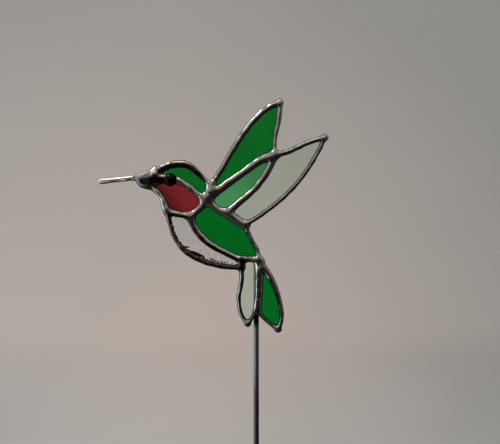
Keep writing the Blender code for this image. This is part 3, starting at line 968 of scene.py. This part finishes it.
class Finish:
    """A material, with its nodes added one by one."""

    def __init__(self, name):
        self.material = bpy.data.materials.new(name)
        self.material.use_nodes = True
        self.tree = self.material.node_tree
        self.shader = self.tree.nodes["Principled BSDF"]

    def node(self, kind, settings=None, sockets=None, output=0):
        """Adds a node of this kind, makes its settings, sets or links its sockets, and gives one output."""
        made = self.tree.nodes.new("ShaderNode" + kind)
        for key, value in (settings or {}).items():
            setattr(made, key, value)
        for key, value in (sockets or {}).items():
            self.plug(made.inputs[key], value)
        return Value(self, made.outputs[output])

    def plug(self, socket, value):
        if isinstance(value, Value):
            self.tree.links.new(value.socket, socket)
        elif isinstance(value, tuple) and len(value) == 3 and socket.type == "RGBA":
            socket.default_value = (*value, 1.0)
        else:
            socket.default_value = value

    def surface(self, **sockets):
        """Sets or links sockets of the shader; a space in a socket's name is written as an underscore."""
        for key, value in sockets.items():
            self.plug(self.shader.inputs[key.replace("_", " ")], value)

    def place(self):
        return self.node("TexCoord", output="Object")

    def place_along(self, axis):
        """One coordinate of the place on the object."""
        return self.node("SeparateXYZ", None, {"Vector": self.place()}, axis)

    def vector(self, operation, first, second, output=0):
        """Vector maths on two vectors, or on a vector and the number that scales it."""
        other = "Scale" if operation == "SCALE" else 1
        return self.node("VectorMath", {"operation": operation}, {0: first, other: second}, output)

    def stretched(self, scale):
        """The place on the object, scaled differently along X, Y and Z."""
        return self.node("Mapping", None, {"Vector": self.place(), "Scale": scale})

    def noise(self, scale, detail=2.0, roughness=0.5, place=None, distortion=0.0):
        """Noise whose scale is in cells per millimetre."""
        sockets = {"Vector": place or self.place(), "Scale": scale / MM, "Detail": detail}
        return self.node("TexNoise", None, sockets | {"Roughness": roughness, "Distortion": distortion})

    def ramp(self, value, low, high, bottom=0.0, top=1.0, smooth=True):
        """A value's range from low to high, spread from bottom to top."""
        settings = {"interpolation_type": "SMOOTHSTEP" if smooth else "LINEAR"}
        sockets = {"Value": value, "From Min": low, "From Max": high, "To Min": bottom, "To Max": top}
        return self.node("MapRange", settings, sockets)

    def mix(self, share, first, second):
        """Two colours mixed by a share."""
        return self.node("Mix", {"data_type": "RGBA"}, {0: share, 6: first, 7: second}, 2)

    def bump(self, height, distance, strength=1.0):
        """Turns a height from 0 to 1, of a distance in millimetres, into a normal for the shader."""
        sockets = {"Height": height, "Distance": distance * MM, "Strength": strength}
        self.plug(self.shader.inputs["Normal"], self.node("Bump", None, sockets))

    def attribute(self, name):
        return self.node("Attribute", {"attribute_name": name}, None, "Fac")


# Finishes: their colours, in pairs where one drifts between two.
SOLDER_BRIGHT = ((0.85, 0.82, 0.77), (0.77, 0.75, 0.71))
SOLDER_FILM_AND_SHADE = (0.11, 0.10, 0.085)
SOLDER_DULL = (0.33, 0.335, 0.33)
SOLDER_TARNISH_AND_SHADE = (0.065, 0.047, 0.038)
FOIL_BLACK = (0.012, 0.011, 0.010)
EYE_BLACK = ((0.0002, 0.0002, 0.0002), (0.0006, 0.0005, 0.0005))
WIRE_METAL = ((0.93, 0.88, 0.80), (0.90, 0.78, 0.62))
WIRE_GRIME = (0.14, 0.11, 0.08)
WIRE_LOWER_SHADE = (0.10, 0.065, 0.045)
STEEL_LIT_UPPER = ((0.34, 0.38, 0.42), (0.46, 0.50, 0.54))
STEEL_SHADED_LOWER = ((0.17, 0.18, 0.185), (0.24, 0.25, 0.255))
STEEL_DARK_TOP = (0.03, 0.03, 0.03)

# The rod, in millimetres above the fork of the tail: where it is dark just under the fork, and where painted
# shade dims it.
DARK_TOP_FADE = (-11.0, -6.0)
DIM_FADE = (-52.0, -34.0)

# Each glass: its light and deep tones. A fade has the two places, as u and v, that the tone goes between;
# an edge, a painted shade, has a third, dark tone and the places that it comes in between.
GLASS = {"Roughness": 0.02, "IOR": 1.45, "Transmission_Weight": 1.0}
CLEAR = ((0.86, 0.90, 0.91), (1.0, 1.0, 1.0))
DEEP_GREEN = ((0.001, 0.365, 0.044), (0.001, 0.31, 0.034))
PALE_GREEN = ((0.135, 0.68, 0.265), (0.085, 0.45, 0.155))
PALE_GREEN_FADE = ((-16.0, 64.0), (9.0, 89.0))
SAGE = ((0.81, 0.95, 0.84), (0.77, 0.92, 0.79))
PALE_SAGE = ((0.88, 1.0, 0.93), (0.84, 0.98, 0.88))
RUBY = ((0.44, 0.038, 0.052), (0.32, 0.028, 0.039))
# Painted shade: the ruby darkens towards its throat seam.
RUBY_SHADED_EDGE = ((0.09, 0.008, 0.012), (-52.6, 72.1), (-57.4, 68.4))
RUBY_FADE = ((-47.0, 76.0), (-54.5, 71.0))


def solder_finish():
    """Polished solder: a bright mirror with black foil edges; its dark film and dark brown are partly flux
    and tarnish, partly painted shade.
    """
    made = Finish("polished solder")
    hollow, foil = made.attribute("hollow"), made.attribute("foil")
    cloud, speck = made.noise(0.22), made.noise(0.9, 3.0, 0.55)
    # Dark film by the glass: partly flux, partly painted shade over the bead's slope.
    film_and_shade = made.ramp(hollow + (cloud - 0.5) * 0.4, 0.35, 1.05)
    stain = made.ramp(speck + (cloud - 0.5) * 0.6, 0.56, 0.78)
    metal = made.mix(cloud, *SOLDER_BRIGHT)
    metal = made.mix((film_and_shade * 0.75).larger(stain * 0.3), metal, SOLDER_FILM_AND_SHADE)
    dull = made.ramp(made.attribute("dull") + (cloud - 0.5) * 0.3, 0.1, 0.7)
    metal = made.mix(dull, metal, SOLDER_DULL)
    # Dark brown, partly tarnish and partly painted shade that darkens bands of the solder.
    brown = made.ramp(made.attribute("tarnish_and_shade") + (cloud - 0.5) * 0.5, 0.15, 0.75)
    metal = made.mix(brown * 0.97, metal, SOLDER_TARNISH_AND_SHADE)
    made.surface(
        Base_Color=made.mix(made.ramp(foil, 0.1, 0.45), metal, FOIL_BLACK),
        Metallic=1.0,
        Roughness=made.ramp(speck * 0.5 + film_and_shade * 0.5, 0.2, 0.8, 0.05, 0.20, False) + dull * 0.3,
    )
    made.bump(speck, 0.02, 0.4)
    return made.material


def coloured_glass(name, light, deep, fade=None, edge=None):
    """Cathedral glass: see-through, drifting from a light to a deep tone, with a faintly waved face.

    With a fade the tone goes from light at its first place to deep at its second. With an edge the
    glass has the edge's dark tone, a painted shade, from its second place on.
    """
    made = Finish(name)
    drift = made.ramp(made.noise(0.05, place=made.stretched((1.0, 1.0, 0.5))), 0.3, 0.7)

    def along(first, last):
        """How far a place is from the first towards the last, as a share of the way."""
        first, last = (in_place([(u, 0.0, v)])[0] for u, v in (first, last))
        run = (last - first) / ((last - first) ** 2).sum()
        return made.vector("DOT_PRODUCT", made.place(), tuple(run), "Value") - float(first @ run)

    if fade:
        drift = made.ramp(along(*fade) + (drift - 0.5) * 0.3, 0.0, 1.0)
    tone = made.mix(drift, light, deep)
    # Painted shade: the edge's dark tone along one side of the pane.
    if edge:
        tone = made.mix(made.ramp(along(*edge[1:]), 0.0, 1.0, smooth=False), tone, edge[0])
    made.surface(Base_Color=tone, **GLASS)
    made.bump(made.noise(0.12, roughness=0.45, distortion=0.6), 0.10, 0.35)
    return made.material


def rippled_glass():
    """Clear rolled glass: colourless, with drawn-out, wandering streaks that pass a little more light."""
    made = Finish("clear rippled glass")
    streak = made.noise(0.42, place=made.stretched((1.0, 1.0, 0.32)), distortion=1.6)
    made.surface(Base_Color=made.mix(made.ramp(streak, 0.38, 0.68), *CLEAR), **GLASS)
    made.bump(streak, 0.35, 0.8)
    return made.material


def eye_finish():
    """Black glass with a high gloss."""
    made = Finish("black glass")
    cloud = made.noise(0.6)
    made.surface(
        Base_Color=made.mix(cloud, *EYE_BLACK),
        Roughness=made.ramp(cloud, 0.3, 0.7, 0.02, 0.05, False),
        IOR=1.5,
        Specular_IOR_Level=0.15,
    )
    return made.material


def wire_finish():
    """Brass wire with a thin, worn coat of tin, and painted shade of dark brown on its lower strand."""
    made = Finish("tinned brass wire")
    wear, grime = made.noise(0.7, 4.0, 0.6), made.noise(2.2, 3.0, 0.6)
    metal = made.mix(made.ramp(wear, 0.42, 0.58), *WIRE_METAL)
    metal = made.mix(made.ramp(grime, 0.60, 0.80, 0.0, 0.4), metal, WIRE_GRIME)
    # Painted shade: the marked lower strand is painted dark brown.
    brown = made.ramp(made.attribute("tarnish_and_shade") + (wear - 0.5) * 1.2, 0.2, 0.8)
    made.surface(
        Base_Color=made.mix(brown * 0.9, metal, WIRE_LOWER_SHADE),
        Metallic=0.3,
        Roughness=made.ramp(wear, 0.3, 0.7, 0.20, 0.36, False),
    )
    made.bump(grime, 0.02, 0.6)
    return made.material


def rod_finish():
    """Drawn steel: streaks along the rod, painted shade that makes it dimmer lower down, and dark at the top
    just under the fork.
    """
    made = Finish("drawn steel")
    streak = made.noise(1.4, 3.0, 0.6, made.stretched((1.0, 1.0, 0.02)))
    cloud = made.noise(0.08, 4.0, 0.6)
    height = (made.place_along("Z") - ORIGIN.z) / MM
    # Painted shade: lit and shaded copies of the steel, the shaded one lower down.
    dim = made.ramp(height + (cloud - 0.5) * 6.0, *DIM_FADE)
    steel = made.mix(dim, made.mix(streak, *STEEL_SHADED_LOWER), made.mix(streak, *STEEL_LIT_UPPER))
    dark_top = made.ramp(height + (cloud - 0.5) * 10.0, *DARK_TOP_FADE)
    made.surface(
        Base_Color=made.mix(dark_top, steel, STEEL_DARK_TOP),
        Metallic=0.93,
        Roughness=made.ramp(streak + cloud, 0.7, 1.3, 0.30, 0.42, False),
    )
    made.bump(streak, 0.01, 0.5)
    return made.material


def give(obj, material):
    """Makes a material the only one of a new piece."""
    obj.data.materials.clear()
    obj.data.materials.append(material)


def node_finish(node, material):
    """Puts a material in the slots of a CAD node that stays in sight."""
    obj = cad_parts[node]
    if not obj.material_slots:
        obj.data.materials.append(material)
    for place in obj.material_slots:
        place.material = material


# The stage: a pale bowl to stand on, and a tent that only polished faces mirror.
BOWL_FLOOR = 1.1
BOWL_SWEEP = 0.8
BOWL_WALL = 1.6
BOWL_STEPS = (12, 24, 8)
BOWL_SIDES = 96
BOWL_PAPER_LIT_AND_SHADED = ((0.765, 0.705, 0.68), (0.515, 0.524, 0.524))
TENT_RADIUS = 0.62
TENT_CENTRE = Vector((-0.02, 0.0, 0.24))
TENT_STEPS = 33
TENT_SIDES = 48

# Each window: its direction from the bird, the angles of its full and its faded edge, colour, strength.
TENT_WINDOWS = (
    ((-0.40, 0.80, 0.45), 20, 62, (0.24, 0.225, 0.20), 1.0),
    ((-0.52, -0.40, 0.76), 6, 12, (1.0, 0.95, 0.87), 1.9),
    ((-0.10, -0.42, 0.90), 5, 10, (1.0, 0.95, 0.88), 1.4),
    ((0.20, -0.36, 0.92), 4, 9, (1.0, 0.93, 0.88), 1.2),
    ((-0.50, 0.10, 0.86), 4, 7, (0.95, 0.97, 1.0), 8.0),
    ((-1.0, -0.15, 0.0), 16, 50, (0.74, 0.92, 1.0), 0.12),
    ((-1.0, -0.22, 0.05), 15, 24, (0.70, 0.88, 1.0), 0.85),
    ((-0.86, -0.30, -0.42), 12, 22, (0.72, 0.89, 1.0), 0.9),
    ((-0.50, -0.50, -0.70), 15, 50, (1.0, 0.97, 0.93), 0.03),
    ((0.90, -0.42, 0.10), 8, 30, (1.0, 0.93, 0.84), 0.05),
    ((0.75, 0.48, 0.42), 12, 52, (0.24, 0.225, 0.20), 0.75),
)
TENT_DARK = (0.012, 0.012, 0.011)
TENT_SKY = (0.27, 0.255, 0.23)
TENT_SKY_AIM = (-0.30, 0.0, 0.95)
TENT_SKY_FADE = (-0.08, 0.50)

# The room's own light, and the camera, in millimetres from the fork of the tail.
ROOM_LIGHT = (1.0, 0.95, 0.9, 1.0)
ROOM_STRENGTH = 0.15
CAMERA_ACROSS = -3.7
CAMERA_DISTANCE = 490.0
CAMERA_ABOVE_FORK = 52.9


def round_shell(name, profile, sides, centre=(0.0, 0.0, 0.0)):
    """An open surface: a profile of height and radius carried round an upright axis, its middle closed."""
    points, _, faces = sleeve(turned(centre, (0, 0, 1), profile, sides))
    made = new_mesh(name, points, faces)
    return made


def bowl():
    """A flat floor that sweeps up into a wall: a disc, a quarter circle and a straight rise.

    Its paper is painted with shade: darker to the right and upwards, past both sides, high up, and on the
    floor in front and at the sides; a painted glow of light makes it palest round the middle, low down.
    """
    disc_steps, sweep_steps, wall_steps = BOWL_STEPS
    disc = [(0.0, r) for r in np.linspace(0.0, BOWL_FLOOR, disc_steps)]
    turn = np.linspace(0.0, math.pi / 2, sweep_steps)[1:]
    sweep = [(BOWL_SWEEP * (1 - math.cos(a)), BOWL_FLOOR + BOWL_SWEEP * math.sin(a)) for a in turn]
    wall = [(BOWL_SWEEP + h, BOWL_FLOOR + BOWL_SWEEP) for h in np.linspace(0.1, BOWL_WALL, wall_steps)]
    made = round_shell("pale_bowl", disc + sweep + wall, BOWL_SIDES)
    finish = Finish("pale paper")
    grain = finish.noise(0.002, 3.0)
    across, forward, upward = (finish.place_along(axis) for axis in "XYZ")
    # Painted shade and a painted glow on the paper, in place of light falling on it.
    aside = ((across - 0.1).squared() * 1.4).clamped() * 0.55
    above = ((upward - 0.05).squared() * 1.2).clamped() * 0.3
    floor = ((1.25 - forward) * (across.squared() * 3.0 + 0.72)).clamped() * (1.0 - upward * 4.0).clamped()
    glow = (1.0 - across.squared() * 9.0 - (upward - 0.02).squared() * 25.0).clamped() * 0.18
    rise = across * 0.42 + (upward - 0.27) * 0.40 + grain * 0.2
    shade = (rise + 0.225 + aside + above + floor - glow).clamped()
    finish.surface(Base_Color=finish.mix(shade, *BOWL_PAPER_LIT_AND_SHADED), Roughness=0.95, Specular_IOR_Level=0.1)
    give(made, finish.material)
    made.visible_glossy = False


def tent():
    """What the polished faces mirror: a dark tent with soft windows, seen by no camera and casting no shade.

    Its sky and each of its windows is light round a direction, fading with the angle from it.
    """
    turn = np.linspace(0.0, math.pi, TENT_STEPS)
    profile = [(-TENT_RADIUS * math.cos(a), TENT_RADIUS * math.sin(a)) for a in turn]
    made = round_shell("reflection_tent", profile, TENT_SIDES, TENT_CENTRE)
    finish = Finish("tent light")
    aim = finish.vector("SUBTRACT", finish.place(), tuple(TENT_CENTRE))
    aim = finish.node("VectorMath", {"operation": "NORMALIZE"}, {0: aim})
    sky = finish.ramp(finish.vector("DOT_PRODUCT", aim, TENT_SKY_AIM, "Value"), *TENT_SKY_FADE)
    total = finish.vector("ADD", finish.vector("SCALE", TENT_SKY, sky), TENT_DARK)
    for direction, inner, outer, colour, strength in TENT_WINDOWS:
        facing = finish.vector("DOT_PRODUCT", aim, tuple(Vector(direction).normalized()), "Value")
        fade = (math.cos(math.radians(angle)) for angle in (outer, inner))
        amount = finish.ramp(facing, *fade, 0.0, strength)
        total = finish.vector("ADD", total, finish.vector("SCALE", colour, amount))
    glow = finish.node("Emission", None, {"Color": total, "Strength": 1.0})
    finish.tree.links.new(glow.socket, finish.tree.nodes["Material Output"].inputs["Surface"])
    finish.tree.nodes.remove(finish.shader)
    give(made, finish.material)
    for ray in ("camera", "diffuse", "transmission", "volume_scatter", "shadow"):
        setattr(made, "visible_" + ray, False)


def soft_light(name, place, target, size, power, colour, piece=None):
    """A round lamp that the camera doesn't see. With a piece it lights that alone, and shows in it."""
    data = bpy.data.lights.new(name, "AREA")
    data.shape = "DISK"
    data.size = size
    data.energy = power
    data.color = colour
    made = bpy.data.objects.new(name, data)
    bpy.context.scene.collection.objects.link(made)
    made.location = place
    made.rotation_euler = (Vector(target) - Vector(place)).to_track_quat("-Z", "Y").to_euler()
    made.visible_camera = False
    made.visible_glossy = piece is not None
    if piece:
        lit = bpy.data.collections.new("lit_by_" + name)
        lit.objects.link(piece)
        made.light_linking.receiver_collection = lit


web = solder_web()
saddle = rod_saddle()
collar = bill_collar()
wire = beak_wire()
eye = eye_dome()
rod = steel_rod()
belly = belly_pane()
spills = belly_spills()

solder = solder_finish()
for piece in (web, saddle, collar, spills):
    give(piece, solder)
give(eye, eye_finish())
give(wire, wire_finish())
give(rod, rod_finish())
give(belly, rippled_glass())

deep_green = coloured_glass("deep green glass", *DEEP_GREEN)
for node in ("crown_glass", "back_glass", "upper_wing_glass", "tail_glass"):
    node_finish(node, deep_green)
node_finish("middle_wing_glass", coloured_glass("lighter green glass", *PALE_GREEN, PALE_GREEN_FADE))
node_finish("rear_wing_glass", coloured_glass("sage glass", *SAGE))
node_finish("undertail_glass", coloured_glass("pale sage glass", *PALE_SAGE))
node_finish("throat_glass", coloured_glass("ruby glass", *RUBY, RUBY_FADE, RUBY_SHADED_EDGE))

bowl()
tent()

world = bpy.data.worlds.new("room")
bpy.context.scene.world = world
world.use_nodes = True
background = world.node_tree.nodes["Background"].inputs
background["Color"].default_value = ROOM_LIGHT
background["Strength"].default_value = ROOM_STRENGTH

soft_light("key", (-1.1, -0.1, 1.8), (0.0, 1.0, 0.1), 0.7, 24.0, (1.0, 0.95, 0.89))
soft_light("fill", (0.9, -0.6, 1.6), (0.0, 0.6, 0.3), 0.9, 4.0, (1.0, 0.96, 0.92))
soft_light("bill_glint", (-0.14, -0.14, 0.87), (-0.08, 0.0, 0.27), 0.12, 5.0, (1.0, 0.95, 0.85), wire)
soft_light("eye_glint", (-0.247, -0.067, 0.644), (-0.05, 0.0, 0.276), 0.09, 0.5, (1.0, 1.0, 1.0), eye)

lens = bpy.data.cameras.new("camera")
lens.lens = 60.0
lens.sensor_width = 36.0
lens.clip_start = 0.01
camera = bpy.data.objects.new("camera", lens)
bpy.context.scene.collection.objects.link(camera)
camera.location = ORIGIN + Vector((CAMERA_ACROSS, -CAMERA_DISTANCE, CAMERA_ABOVE_FORK)) * MM
camera.rotation_euler = (math.pi / 2, 0.0, 0.0)
bpy.context.scene.camera = camera
bpy.context.scene.view_settings.view_transform = "Standard"
